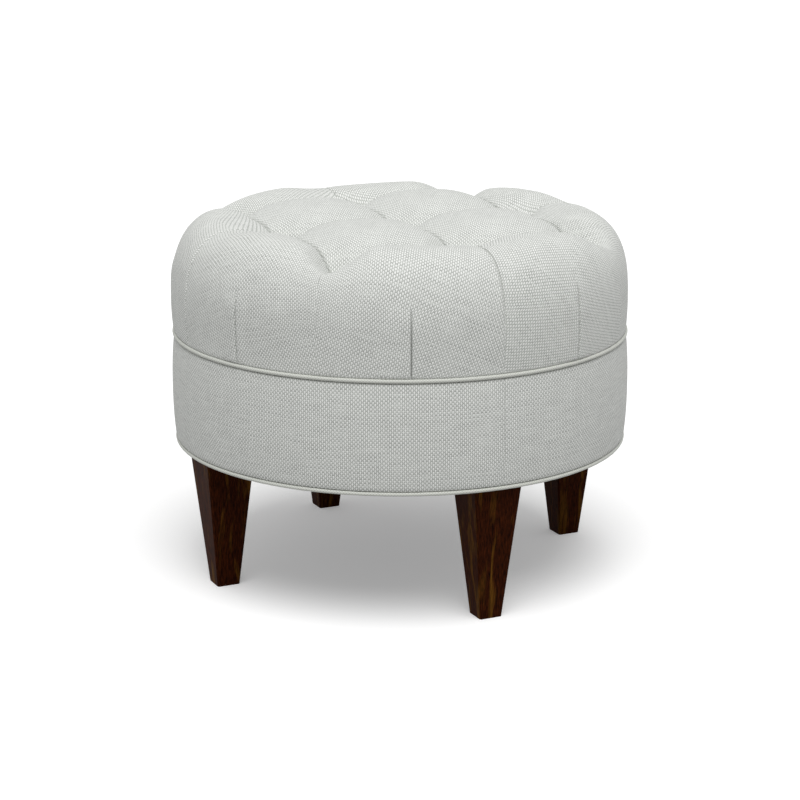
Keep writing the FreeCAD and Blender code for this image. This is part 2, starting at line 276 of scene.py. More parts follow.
cushion = {
    "innerTopZ": 417.7 * mm,
    "rimTopZ": 413.3 * mm,
    "hemZ": coverLow.z,
    "tuftSpacing": twineHigh.x - 3.0 * mm,
    "sideRadius": 261.0 * mm,
    "shoulderZ": 326.3 * mm,
    "bumpReach": 57.5 * mm,           # how far in from the side a rim bump has its crest
    "shoulderFullness": 2.2,          # 2 is an ellipse, and more is squarer
    "sidePleatReach": 56.5 * mm,
    "sidePleatTopZ": 407.9 * mm,
    "cornerPleatReach": 24.0 * mm,
    "cornerPleatTopZ": 388.5 * mm,
    "pleatFullness": 2.25,
    "bumpDrop": 17.0 * mm,
    "bumpFullness": 2.3,
    "gentleFullness": 2.35,
    "rolledFullness": 3.1,
    "sideRise": 0.30,                 # share of a rim bump's width over which it comes out from under a lip
    "cornerRise": 0.44,
    "lipStart": 0.20,
    "lipPower": 3.0,
    "tuftDepth": 12.5 * mm,
    "tuftWidth": 24.0 * mm,
    "tuftPower": 2.5,
    "pleatGroove": 3.8 * mm,
    "pleatWidth": 3.2 * mm,
    "shoulderPleatWidth": 2.7 * mm,
    "pleatLean": 1.0 * mm,
    "pleatMargin": 12.0 * mm,         # the leaning stops this far outside the tufts
    "pleatEndZ": 322.0 * mm,
    "pleatFade": 60.0 * mm,           # height over which a pleat closes to a crease
    "sideCrease": 0.8 * mm,
    "cornerCrease": 0.4 * mm,
    "creaseWidth": 2.6 * mm,
    "dartTopZ": [z * mm for z in (348, 356, 351, 366, 361, 356, 374, 358)],
    "dartTip": 14.0 * mm,
    "dartDepth": 5.0 * mm,
    "dartWidth": 1.9 * mm,
    "dartPuff": 1.1 * mm,
    "dartPuffWidth": 16.0 * mm,
    "footRadius": 259.6 * mm,
    "footZ": 283.9 * mm,
    # in and down from the foot, and then out from the hem and down from the foot
    "footTurn": [(0.3 * mm, 1.5 * mm), (1.2 * mm, 2.4 * mm), (2.4 * mm, 2.8 * mm)],
    "hemTurn": [(0.3 * mm, 3.7 * mm), (0.0, 5.4 * mm)],
    "hemGap": 1.7 * mm,
    "clearance": 0.2 * mm,
    "flatRadius": 190.0 * mm,         # inside it the cloth swells straight up
    "turnZ": 330.0 * mm,              # below it the cloth swells straight out
    "lumpSize": 45.0 * mm,
    "lumpHeight": 0.9 * mm,
    "panelColumns": 26,
    "borderRows": 22,
    "shoulderRows": 40,
    "sideRows": 14,
    "weaveDirection": math.radians(-78.75),
    "panelTurnShare": 0.81,
    "dartTurn": math.radians(18.0),   # wedge of cloth taken out by a dart
}
eighth = math.pi / 4
onePoint = 1e-6                       # metres, two points nearer than this are one


def unevenSteps(count, pull=0.86):
    x = np.linspace(0, 1, count + 1)
    return x - pull * np.sin(2 * np.pi * x) / (2 * np.pi)


def sectorColumns():
    half = unevenSteps(cushion["panelColumns"])
    return np.concatenate([half / 2, 0.5 + half[1:] / 2])


def fullness(u):
    # a bump comes up gently from one pleat and rolls down steeply to the next
    return np.abs(2 * u - 1) ** np.where(u < 0.5, cushion["gentleFullness"], cushion["rolledFullness"])


def outerTuft(sector):
    distance = cushion["tuftSpacing"] * (1.0 if sector % 2 == 0 else math.sqrt(2))
    return distance * np.array([math.cos(eighth * sector), math.sin(eighth * sector)])


def tuftPlaces():
    spacing = cushion["tuftSpacing"]
    return [(x * spacing, y * spacing) for x in (-1, 0, 1) for y in (-1, 0, 1)]


def innerBump(cornerX, cornerY):
    # one of the four square bumps inside the tuft grid
    steps = sectorColumns()
    x, y = np.meshgrid(steps, steps, indexing="ij")
    z = cushion["innerTopZ"] - cushion["bumpDrop"] * (fullness(x) + fullness(y))
    spacing = cushion["tuftSpacing"]
    return np.stack([(x + cornerX) * spacing, (y + cornerY) * spacing, z], axis=-1)


def shoulderPoint(slope, reach, topZ, power):
    # slope runs from 0 on the side to a right angle on top
    side, base = cushion["sideRadius"], cushion["shoulderZ"]
    return (side - reach * (1 - math.cos(slope) ** (2 / power)),
            base + (topZ - base) * math.sin(slope) ** (2 / power))


def pleatProfile(sector, slope):
    kind = "side" if sector % 2 == 0 else "corner"
    return shoulderPoint(slope, cushion[kind + "PleatReach"], cushion[kind + "PleatTopZ"],
                         cushion["pleatFullness"])


def rimSwell(sector, columns):
    # each rim bump comes out flat from under its neighbour's lip, and rolls over at its own
    rise = np.clip(columns / cushion["sideRise" if sector % 2 == 0 else "cornerRise"], 0, 1)
    lip = np.clip((columns - cushion["lipStart"]) / (1 - cushion["lipStart"]), 0, 1)
    return smoothStep(rise) * (1 - lip ** cushion["lipPower"])


def shoulderRow(sector, slope, columns):
    r0, z0 = pleatProfile(sector, slope)
    r1, z1 = pleatProfile(sector + 1, slope)
    middleR, middleZ = shoulderPoint(slope, cushion["bumpReach"], cushion["rimTopZ"],
                                     cushion["shoulderFullness"])
    swell = rimSwell(sector, columns)
    past = smoothStep(columns)
    radius = (r0 + (r1 - r0) * past) * (1 - swell) + middleR * swell
    height = (z0 + (z1 - z0) * past) * (1 - swell) + middleZ * swell
    lean = (math.atan(0.5) - eighth / 2) * (1 if sector % 2 == 0 else -1)
    share = slope / (math.pi / 2)
    angle = eighth * (sector + columns) + lean * share ** 2 * 4 * columns * (1 - columns)
    return roundPoints(radius, angle, height)


def roundRow(sector, radius, z, columns):
    return roundPoints(radius, eighth * (sector + columns), z)


def tuftLine(sector, columns):
    # the line between two tufts, where a rim bump begins
    spacing = cushion["tuftSpacing"]
    start, end = outerTuft(sector), outerTuft(sector + 1)
    line = np.empty((len(columns), 3))
    line[:, :2] = start + (end - start) * columns[:, None]
    runsAlong = 0 if abs(end[0] - start[0]) > abs(end[1] - start[1]) else 1
    fromTuft = line[:, runsAlong] / spacing - min(start[runsAlong], end[runsAlong]) / spacing
    line[:, 2] = cushion["innerTopZ"] - cushion["bumpDrop"] * (1 + fullness(fromTuft))
    return line


def hemOutline():
    # (radius, height) in behind the piping, down to the hem on the hoop and back over the foam
    foot, footZ, hemZ = cushion["footRadius"], cushion["footZ"], cushion["hemZ"]
    hemRadius = hoopHigh.x + cushion["hemGap"]
    hoopRadius, foamRadius = hoopHigh.x + cushion["clearance"], foamHigh.x + cushion["clearance"]
    return ([(foot - inward, footZ - down) for inward, down in cushion["footTurn"]]
            + [(hemRadius + out, footZ - down) for out, down in cushion["hemTurn"]]
            + [(hemRadius, hemZ), (hoopRadius, hemZ), (hoopRadius, hoopHigh.z), (foamRadius, hoopHigh.z),
               (foamRadius, foamHigh.z), (foamHigh.x / 2, foamHigh.z), (0.0, foamHigh.z)])


def rimSector(sector):
    # one rim bump: up from the tuft line, over the shoulder, down the side and in behind the piping
    columns = sectorColumns()
    border = tuftLine(sector, columns)
    crest = shoulderRow(sector, math.pi / 2, columns)
    rows = []
    for share in np.linspace(0, 1, cushion["borderRows"] + 1)[:-1] ** 1.5:
        row = border + (crest - border) * share
        row[:, 2] = border[:, 2] + (crest[:, 2] - border[:, 2]) * (1 - (1 - share) ** cushion["bumpFullness"])
        rows.append(row)
    for slope in np.linspace(math.pi / 2, 0, cushion["shoulderRows"]):
        rows.append(shoulderRow(sector, slope, columns))
    for share in np.linspace(0, 1, cushion["sideRows"] + 1)[1:]:
        radius = cushion["sideRadius"] + (cushion["footRadius"] - cushion["sideRadius"]) * share ** 2
        z = cushion["shoulderZ"] + (cushion["footZ"] - cushion["shoulderZ"]) * share
        rows.append(roundRow(sector, radius, z, columns))
    shown = len(rows)
    for radius, z in hemOutline():
        rows.append(roundRow(sector, radius, z, columns))
    return np.array(rows), shown


def outwards(points):
    # the way a point of the top moves when it swells: up on top, sideways on the side
    radius = np.hypot(points[..., 0], points[..., 1])
    side = np.maximum(radius - cushion["flatRadius"], 0)
    overSide = np.maximum(points[..., 2] - cushion["turnZ"], 0)
    up = np.where(radius > cushion["flatRadius"], overSide, 1.0)
    length = np.maximum(np.hypot(side, up), 1e-9)
    ring = np.maximum(radius, 1e-9)
    across = [points[..., axis] / ring * side / length for axis in (0, 1)]
    return np.stack(across + [up / length], -1)


def groove(distance, width):
    return np.maximum(1 - np.abs(distance) / width, 0) ** 2


def tuftHollows(x, y):
    hollows = np.zeros_like(x)
    for tuftX, tuftY in tuftPlaces():
        away = np.hypot(x - tuftX, y - tuftY) / cushion["tuftWidth"]
        hollows += cushion["tuftDepth"] * np.exp(-away ** cushion["tuftPower"])
    return hollows


def innerPleats(points):
    # depth of the straight pleats between the tufts, and how far they lean over
    spacing, margin = cushion["tuftSpacing"], cushion["tuftSpacing"] + cushion["pleatMargin"]
    x, y = points[..., 0], points[..., 1]
    inside = (np.abs(x) <= margin) & (np.abs(y) <= margin)
    depth, lean = np.zeros_like(x), np.zeros_like(points)
    for across, along, axis in ((x, y, 0), (y, x, 1)):
        for line in (-spacing, 0.0, spacing):
            near = groove(across - line, cushion["pleatWidth"]) * (np.abs(along) <= spacing + onePoint)
            depth = np.maximum(depth, near * cushion["pleatGroove"])
            lean[..., axis] += near * cushion["pleatLean"] * inside
    return depth, lean


def sewnIn(points):
    # draws in the tufts, the pleats between them, the pleats over the shoulder and the darts at the foot
    x, y, z = points[..., 0], points[..., 1], points[..., 2]
    radius, angle = np.hypot(x, y), np.arctan2(y, x)
    edge = cushion["tuftSpacing"] - onePoint
    beyond = (np.abs(x) >= edge) | (np.abs(y) >= edge)
    depth, lean = innerPleats(points)
    depth = depth + tuftHollows(x, y)
    # pleats over the shoulder: deep on the four sides, a mere crease at the corners
    fromPleat = (angle + eighth / 2) % eighth - eighth / 2
    onSide = np.round(angle / eighth) % 2 == 0
    openness = smoothStep(np.clip((z - cushion["pleatEndZ"]) / cushion["pleatFade"], 0, 1)) * onSide
    crease = np.where(onSide, cushion["sideCrease"], cushion["cornerCrease"])
    width = cushion["creaseWidth"] + (cushion["shoulderPleatWidth"] - cushion["creaseWidth"]) * openness
    pleatDepth = crease + (cushion["pleatGroove"] - crease) * openness
    near = groove(radius * np.sin(fromPleat), width) * beyond
    depth = np.maximum(depth, depth * (1 - near) + near * np.maximum(depth, pleatDepth))
    tangent = np.stack([-np.sin(angle), np.cos(angle), np.zeros_like(angle)], -1)
    lean = lean + tangent * (near * cushion["pleatLean"] * openness)[..., None]
    # darts, a slit in the middle of each panel with the cloth puffed beside it
    fromDart = angle % eighth - eighth / 2
    dartTop = np.array(cushion["dartTopZ"])[np.floor(angle / eighth).astype(int) % 8]
    tip = np.clip((dartTop - z) / cushion["dartTip"], 0, 1)
    slit = groove(radius * np.sin(fromDart), cushion["dartWidth"]) * np.sqrt(tip) * beyond
    depth = np.maximum(depth, slit * cushion["dartDepth"])
    puff = np.exp(-(radius * fromDart / cushion["dartPuffWidth"]) ** 2) * tip * beyond * cushion["dartPuff"]
    return points + lean + outwards(points) * (puff - depth)[..., None]


def restless(points):
    # small unevenness of stuffed cloth, as a smooth wander in and out
    offset = Vector((17.3, 5.1, 9.7))
    values = np.array([noise.noise(Vector(p) / cushion["lumpSize"] + offset) for p in points.reshape(-1, 3)])
    return points + outwards(points) * (values.reshape(points.shape[:-1]) * cushion["lumpHeight"])[..., None]


def runLength(points, axis):
    # distance over the cloth from the middle line of a patch, along one of its two ways
    step = np.linalg.norm(np.diff(points, axis=axis), axis=2)
    first = np.zeros_like(points[:1, :, 0]) if axis == 0 else np.zeros_like(points[:, :1, 0])
    run = np.concatenate([first, np.cumsum(step, axis=axis)], axis=axis)
    middle = run.shape[axis] // 2
    return run - np.take(run, [middle], axis=axis)


def turnedUv(across, along, angle):
    return np.stack([along * math.cos(angle) - across * math.sin(angle),
                     along * math.sin(angle) + across * math.cos(angle)], -1)


def sectorUv(points, shown, sector):
    # lays the panel out flat from its middle line, and opens it at the dart as the cut cloth was
    middle = points.shape[1] // 2
    across = runLength(points, 1)
    stepDown = np.linalg.norm(np.diff(points[:, middle], axis=0), axis=1)
    along = np.concatenate([[0], np.cumsum(stepDown)])[:, None] + np.zeros_like(across)
    tipRow = int(np.argmin(np.abs(points[:shown, middle, 2] - cushion["dartTopZ"][sector])))
    down = along - along[tipRow, middle]
    away, angle = np.hypot(across, down), np.arctan2(across, down)
    half = cushion["dartTurn"] / 2
    opened = np.where(across == 0, angle, angle * (1 - half / math.pi) + np.sign(across) * half)
    centre = (eighth * (sector + 0.5) + math.pi) % (2 * math.pi) - math.pi
    turn = cushion["panelTurnShare"] * (centre - cushion["weaveDirection"]) - eighth
    return turnedUv(away * np.sin(opened), away * np.cos(opened) + 0.3, turn)


def gridFaces(rows, columns, offset):
    index = np.arange(rows * columns).reshape(rows, columns) + offset
    return np.stack([index[:-1, :-1], index[1:, :-1], index[1:, 1:], index[:-1, 1:]], -1).reshape(-1, 4)


def gridLoopUvs(uv):
    return np.stack([uv[:-1, :-1], uv[1:, :-1], uv[1:, 1:], uv[:-1, 1:]], 2).reshape(-1, 2)


def makeTuftedTop():
    patches = []
    for cornerX in (-1, 0):
        for cornerY in (-1, 0):
            grid = sewnIn(innerBump(cornerX, cornerY))
            uv = turnedUv(runLength(grid, 1), runLength(grid, 0), -cushion["weaveDirection"] - eighth)
            patches.append((restless(grid), uv))
    for sector in range(8):
        grid, shown = rimSector(sector)
        grid[:shown] = sewnIn(grid[:shown])
        uv = sectorUv(grid, shown, sector)
        grid[:shown] = restless(grid[:shown])
        patches.append((grid, uv))
    faces, count = [], 0
    for grid, uv in patches:
        faces.append(gridFaces(*grid.shape[:2], count))
        count += grid.shape[0] * grid.shape[1]
    points = np.concatenate([grid.reshape(-1, 3) for grid, uv in patches])
    loopUvs = np.concatenate([gridLoopUvs(uv) for grid, uv in patches])
    piece = addPiece("tuftedTop", cleaned(meshFromData("tuftedTop", points, np.concatenate(faces), loopUvs)),
                     upholsteryCloth)
    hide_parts("top_cover")
    print("tufted top:", len(piece.data.polygons), "faces")


makeTuftedTop()


# side band

band = {
    "bulge": 3.0 * mm,
    "bulgePower": 2.4,
    "edgeRadius": 259.6 * mm,
    "topZ": bandHigh.z,
    "bottomZ": 158.6 * mm,
    "clothThickness": 0.8 * mm,
    # in from the edge, and down from the top or up from the bottom
    "topTurn": [(3.2 * mm, 0.0), (1.6 * mm, 0.1 * mm), (0.5 * mm, 0.7 * mm)],
    "bottomTurn": [(0.6 * mm, 0.3 * mm), (2.0 * mm, 0.0)],
    "tailGap": 0.9 * mm,
    "tailDrop": 0.2 * mm,
    "around": 600,
    "faceRows": 34,
    "faceMargin": 0.015,              # share of the height left to the turned edges
    "seamDepth": 0.8 * mm,
    "seamWidth": 2.2 * mm,
    "seamPull": 0.8,                  # how much closer the columns stand at the seam
}


def bandSwell(share):
    return 1 - abs(2 * share - 1) ** band["bulgePower"]


def bandProfile():
    # (radius, height) down the outside from under the upper piping to the hoop's bottom edge
    top, bottom, edge = band["topZ"], band["bottomZ"], band["edgeRadius"]
    rows = [(edge - inward, top - down) for inward, down in band["topTurn"]]
    for share in np.linspace(band["faceMargin"], 1 - band["faceMargin"], band["faceRows"]):
        rows.append((edge + band["bulge"] * bandSwell(share), top + (bottom - top) * share))
    rows += [(edge - inward, bottom + up) for inward, up in band["bottomTurn"]]
    tail = hoopHigh.x + band["tailGap"]
    return np.array(rows + [(tail, bottom - band["tailDrop"]), (tail, bandLow.z)])


def makeBand():
    outer = bandProfile()
    inner = outer[::-1].copy()
    inner[:, 0] -= band["clothThickness"]
    profile = np.concatenate([outer, inner, outer[:1]])
    # the seam stands at the front
    fromSeam = 2 * math.pi * unevenSteps(band["around"], band["seamPull"])
    turns = fromSeam - math.pi / 2
    toSeam = np.minimum(fromSeam, fromSeam[-1] - fromSeam)
    radius = profile[:, 0][:, None] + np.zeros_like(turns)
    seam = groove(radius * np.sin(toSeam), band["seamWidth"]) * (toSeam < math.pi / 2)
    points = roundPoints(radius - seam * band["seamDepth"], turns, profile[:, 1][:, None])
    uv = np.stack([turns * band["edgeRadius"] + np.zeros_like(radius), -points[..., 2]], -1)
    mesh = meshFromData("bandCloth", points.reshape(-1, 3), gridFaces(*points.shape[:2], 0), gridLoopUvs(uv))
    piece = addPiece("bandCloth", cleaned(mesh), upholsteryCloth)
    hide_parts("band_cover")


makeBand()
print("side band made")


# pipings, each a cord in a bias strip of the cloth

piping = {
    "radius": 2.2 * mm,
    "cloth": "#d0d2cb",
    # painted shade, for the gaps between the crossing threads
    "paintedGapShade": "#8f918b",
    "around": 480,
    "section": 14,
    "unevenness": 0.48 * mm,          # thickest less thinnest radius that the noise could give
    "unevenSize": mm / 0.09,
    "toneSize": mm / 0.26,
    "toneShare": 0.3,
    "paintedShadeHeights": (0.55, 1.0),
    "yarnInDeepestShade": 0.35,                 # share of yarn colour left where the painted shade is deepest, as the gaps are never quite open on the tight roll
    "bumpStrength": 0.5,
    "bumpDepth": 0.3 * mm,
    "finish": {"Roughness": 0.9, "Sheen Weight": 0.12, "Specular IOR Level": 0.25},
}


def socketId(tree, name):
    return next(item.identifier for item in tree.interface.items_tree if item.name == name)


def newTree(name, inputs):
    tree = bpy.data.node_groups.new(name, "GeometryNodeTree")
    for label, kind in inputs:
        tree.interface.new_socket(label, in_out="INPUT", socket_type="NodeSocket" + kind)
    tree.interface.new_socket("Geometry", in_out="OUTPUT", socket_type="NodeSocketGeometry")
    return tree, addNode(tree, "NodeGroupInput").outputs


def raisedTo(tree, shape, height):
    lift = addNode(tree, "ShaderNodeCombineXYZ", {2: height})
    return addNode(tree, "GeometryNodeTransform", {0: shape, "Translation": lift})


def finishTree(tree, shape, material):
    realized = addNode(tree, "GeometryNodeRealizeInstances", {0: shape})
    finished = addNode(tree, "GeometryNodeSetMaterial", {0: realized, "Material": material})
    addNode(tree, "NodeGroupOutput", {0: finished})


def pipingTree(material):
    tree, given = newTree("pipingRound", (("Ring Radius", "Float"), ("Height", "Float"),
                                          ("Piping Radius", "Float"), ("Unevenness", "Float"),
                                          ("Around", "Int"), ("Section", "Int")))
    ring = addNode(tree, "GeometryNodeCurvePrimitiveCircle", {"Resolution": given["Around"],
                                                              "Radius": given["Ring Radius"]})
    section = addNode(tree, "GeometryNodeCurvePrimitiveCircle", {"Resolution": given["Section"],
                                                                 "Radius": given["Piping Radius"]})
    tube = addNode(tree, "GeometryNodeCurveToMesh", {0: raisedTo(tree, ring, given["Height"]), 1: section})
    wander = addNode(tree, "ShaderNodeTexNoise", {"Scale": 1 / piping["unevenSize"], "Detail": 1.0},
                     noise_dimensions="3D")
    centred = addNode(tree, "ShaderNodeMath", {0: wander, 1: 0.5}, operation="SUBTRACT")
    amount = addNode(tree, "ShaderNodeMath", {0: centred, 1: given["Unevenness"]}, operation="MULTIPLY")
    normal = addNode(tree, "GeometryNodeInputNormal")
    shift = addNode(tree, "ShaderNodeVectorMath", {0: normal, 3: amount}, operation="SCALE")
    uneven = addNode(tree, "GeometryNodeSetPosition", {0: tube, "Offset": shift})
    finishTree(tree, uneven, material)
    return tree


def grownMesh(name, tree, values):
    # runs a geometry node tree on an empty mesh and keeps the result as a plain mesh
    seedObject = addObject(name + "Seed", bpy.data.meshes.new(name + "Seed"))
    modifier = seedObject.modifiers.new("grow", "NODES")
    modifier.node_group = tree
    for key, value in values.items():
        modifier[socketId(tree, key)] = value
    mesh = bpy.data.meshes.new_from_object(seedObject.evaluated_get(bpy.context.evaluated_depsgraph_get()))
    mesh.name = name
    bpy.data.objects.remove(seedObject)
    return mesh


def pipingCloth(name, ringRadius, height):
    # the same cloth cut on the bias and wrapped round a cord, so its threads cross the piping slantwise
    material, tree = newMaterial(name)
    place = addNode(tree, "ShaderNodeTexCoord").outputs["Object"]
    parts = addNode(tree, "ShaderNodeSeparateXYZ", {0: place}).outputs
    turn = addNode(tree, "ShaderNodeMath", {0: parts[1], 1: parts[0]}, operation="ARCTAN2")
    along = addNode(tree, "ShaderNodeMath", {0: turn, 1: ringRadius}, operation="MULTIPLY")
    level = addNode(tree, "ShaderNodeCombineXYZ", {0: parts[0], 1: parts[1]})
    distance = addNode(tree, "ShaderNodeVectorMath", {0: level}, operation="LENGTH").outputs["Value"]
    outward = addNode(tree, "ShaderNodeMath", {0: distance, 1: ringRadius}, operation="SUBTRACT")
    upward = addNode(tree, "ShaderNodeMath", {0: parts[2], 1: height}, operation="SUBTRACT")
    roll = addNode(tree, "ShaderNodeMath", {0: upward, 1: outward}, operation="ARCTAN2")
    around = addNode(tree, "ShaderNodeMath", {0: roll, 1: piping["radius"]}, operation="MULTIPLY")
    acrossThreads = math.pi / (clothSettings["threadPitch"] * math.sqrt(2))
    heights = []
    for sign in (1.0, -1.0):
        slant = addNode(tree, "ShaderNodeMath", {0: around, 1: sign, 2: along}, operation="MULTIPLY_ADD")
        wave = addNode(tree, "ShaderNodeMath", {0: slant, 1: acrossThreads}, operation="MULTIPLY")
        sine = addNode(tree, "ShaderNodeMath", {0: wave}, operation="SINE")
        heights.append(addNode(tree, "ShaderNodeMath", {0: sine}, operation="ABSOLUTE"))
    crossing = addNode(tree, "ShaderNodeMath", {0: heights[0], 1: heights[1]}, operation="MAXIMUM")
    tone = addNode(tree, "ShaderNodeTexNoise", {"Vector": place, "Scale": 1 / piping["toneSize"],
                                                "Detail": 2.0})
    mixed = addNode(tree, "ShaderNodeMath", {0: tone, 1: piping["toneShare"], 2: crossing},
                    operation="MULTIPLY_ADD")
    # low places between the slanted threads are painted with shade
    low, high = piping["paintedShadeHeights"]
    openness = addNode(tree, "ShaderNodeMapRange", {0: mixed, 1: low, 2: high, 3: piping["yarnInDeepestShade"], 4: 1.0})
    colour = addNode(tree, "ShaderNodeMix", {0: openness, 6: linearColour(piping["paintedGapShade"]),
                                             7: linearColour(piping["cloth"])}, data_type="RGBA")
    finishMaterial(tree, colour.outputs[2], piping["finish"],
                   (mixed, piping["bumpStrength"], piping["bumpDepth"]))
    return material


def makePiping(name, node):
    low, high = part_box(node)
    height = (low.z + high.z) / 2
    ringRadius = high.x - piping["radius"] * math.cos(math.pi / 6)
    material = pipingCloth(name + "Cloth", ringRadius, height)
    mesh = grownMesh(name, pipingTree(material), {
        "Ring Radius": ringRadius, "Height": height, "Piping Radius": piping["radius"],
        "Unevenness": piping["unevenness"], "Around": piping["around"], "Section": piping["section"]})
    piece = addPiece(name, cleaned(mesh), material)
    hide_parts(node)


makePiping("upperPiping", "upper_welt")
makePiping("lowerPiping", "lower_welt")
print("pipings made")


# padding behind the cloths

padding = {
    "hoopGap": 0.2 * mm,
    "clothGap": 0.4 * mm,
    "waddingRows": 26,
    "waddingColumns": 240,
    "waddingLumps": 0.7 * mm,
    "lumpsAround": 6.0,               # lumps in a turn of one radian
    "lumpHeight": 40.0 * mm,
    "foamEdge": 7.0 * mm,
    "foamEdgeSteps": 4,
    "foamSides": 160,
    "holeRadius": 4.5 * mm,
    "holeSides": 18,
    "drillLength": 0.3,
}


def plainFibre(name, light, dark, fibreSize, roughness, sheen=0.0, strength=0.4):
    material, tree = newMaterial(name)
    place = addNode(tree, "ShaderNodeTexCoord").outputs["Object"]
    fibres = addNode(tree, "ShaderNodeTexNoise", {"Vector": place, "Scale": 1 / fibreSize, "Detail": 5.0,
                                                  "Roughness": 0.65})
    colour = addNode(tree, "ShaderNodeMix", {0: fibres, 6: linearColour(dark), 7: linearColour(light)},
                     data_type="RGBA")
    finishMaterial(tree, colour.outputs[2], {"Roughness": roughness, "Sheen Weight": sheen,
                                             "Specular IOR Level": 0.3}, (fibres, strength, 0.5 * mm))
    return material


# white polyester wadding, bonded: soft, cloudy, no gloss
waddingMaterial = plainFibre("bondedPolyesterWadding", "#f4f4f0", "#d8d8d2", mm / 0.18, 0.95, sheen=0.3)
# cut polyurethane foam: cream, matt, with fine open cells
foamMaterial = plainFibre("cutPolyurethaneFoam", "#efe6c4", "#cdbf92", mm / 0.9, 0.95)
# grey board pressed from paper pulp: matt, with darker flecks
cardMaterial = plainFibre("pressedGreyBoard", "#b9a98c", "#8f8166", mm / 0.42, 0.9)
# pressed hardboard: brown, smooth face, fine fibre mottling
hardboardMaterial = plainFibre("pressedHardboard", "#85603c", "#5c3f26", mm / 0.26, 0.75)
# waxed linen twine: cream, a little shiny from the wax
twineMaterial = plainFibre("waxedLinenTwine", "#e2d8bb", "#b5a884", mm / 1.5, 0.6)
# non-woven cambric: black, matt, with the pressed dots of its bonding
cambricMaterial = plainFibre("blackCambric", "#1b1b1d", "#0b0b0c", mm / 0.7, 0.9, strength=0.8)


def makeBandWadding():
    # a soft ring that fills the band's bulge
    low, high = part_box("band_padding")
    inner = hoopHigh.x + padding["hoopGap"]
    share = np.linspace(0, 1, padding["waddingRows"])
    outer = high.x + (band["bulge"] - padding["clothGap"]) * bandSwell(share)
    face = np.stack([outer, low.z + (high.z - low.z) * share], -1)
    profile = np.concatenate([face, [[inner, high.z], [inner, low.z], face[0]]])
    turns = np.linspace(0, 2 * math.pi, padding["waddingColumns"] + 1)
    ways = padding["lumpsAround"] * np.stack([np.cos(turns), np.sin(turns)], -1)
    lumps = np.array([[noise.noise(Vector((*way, z / padding["lumpHeight"]))) for way in ways]
                      for z in profile[:, 1]])
    onFace = (profile[:, 0] > high.x)[:, None]
    radius = profile[:, 0][:, None] - np.abs(lumps) * padding["waddingLumps"] * onFace
    points = roundPoints(radius, turns, profile[:, 1][:, None])
    mesh = meshFromData("bandWadding", points.reshape(-1, 3), gridFaces(*points.shape[:2], 0))
    piece = addPiece("bandWadding", cleaned(mesh), waddingMaterial)
    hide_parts("band_padding")


def addCylinder(work, place, radius, length, sides):
    made = bmesh.ops.create_cone(work, cap_ends=True, segments=sides, radius1=radius, radius2=radius,
                                 depth=length)
    bmesh.ops.translate(work, verts=made["verts"], vec=place)


def makeFoamPad():
    # a cut disc with eased edges, drilled for the twines
    middle = (foamLow.z + foamHigh.z) / 2
    disc, drills = bmesh.new(), bmesh.new()
    addCylinder(disc, (0, 0, middle), foamHigh.x, foamHigh.z - foamLow.z, padding["foamSides"])
    rims = [edge for edge in disc.edges if abs(edge.verts[0].co.z - edge.verts[1].co.z) < 0.1 * mm]
    bmesh.ops.bevel(disc, geom=rims, offset=padding["foamEdge"], segments=padding["foamEdgeSteps"],
                    profile=0.5, affect="EDGES")
    for x, y in tuftPlaces():
        addCylinder(drills, (x, y, middle), padding["holeRadius"], padding["drillLength"],
                    padding["holeSides"])
    drill = addObject("foamDrills", meshFromWork("foamDrills", drills))
    blank = addObject("foamBlank", meshFromWork("foamPad", disc))
    cut = blank.modifiers.new("holes", "BOOLEAN")
    cut.operation = "DIFFERENCE"
    cut.object = drill
    cut.solver = "EXACT"
    drilled = bpy.data.meshes.new_from_object(blank.evaluated_get(bpy.context.evaluated_depsgraph_get()))
    bpy.data.objects.remove(blank)
    bpy.data.objects.remove(drill)
    piece = addPiece("foamPad", drilled, foamMaterial, smooth=False)
    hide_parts("foam_pad")


makeBandWadding()
makeFoamPad()
print("padding made")


# twines, laid up from two strands and tied off under their washers

twine = {
    "strandRadius": 0.62 * mm,
    "layRadius": 0.55 * mm,
    "layLength": 6.0 * mm,
    "stepsPerLay": 10,
    "knotRadius": 1.9 * mm,
    "knotStrand": 0.85 * mm,
    "knotSteps": 48,
    "knotDrop": 1.7 * mm,             # its middle hangs this far below the washer
    "knotWave": 0.7 * mm,
    "sides": 6,
}


def tubeAlong(path, radius, sides, closed=False):
    count = len(path)
    ahead = np.roll(path, -1, axis=0) - np.roll(path, 1, axis=0)
    if not closed:
        ahead[0], ahead[-1] = path[1] - path[0], path[-1] - path[-2]
    ahead /= np.linalg.norm(ahead, axis=1)[:, None]
    helper = np.tile([1.0, 0.0, 0.0], (count, 1))
    helper[np.abs(ahead[:, 0]) > 0.9] = [0.0, 1.0, 0.0]
    sideways = np.cross(ahead, helper)
    sideways /= np.linalg.norm(sideways, axis=1)[:, None]
    for k in range(1, count):
        carried = sideways[k - 1] - ahead[k] * np.dot(sideways[k - 1], ahead[k])
        sideways[k] = carried / np.linalg.norm(carried)
    upwards = np.cross(ahead, sideways)
    turns = 2 * math.pi * np.arange(sides) / sides
    return path[:, None, :] + radius * (np.cos(turns)[None, :, None] * sideways[:, None, :]
                                        + np.sin(turns)[None, :, None] * upwards[:, None, :])


def addTube(work, path, radius, sides, closed=False):
    rings = [[work.verts.new(point) for point in ring] for ring in tubeAlong(path, radius, sides, closed)]
    pairs = list(zip(rings, rings[1:] + rings[:1])) if closed else list(zip(rings, rings[1:]))
    for low, high in pairs:
        for k in range(sides):
            work.faces.new((low[k], low[(k + 1) % sides], high[(k + 1) % sides], high[k]))
    if not closed:
        work.faces.new(rings[0][::-1])
        work.faces.new(rings[-1])


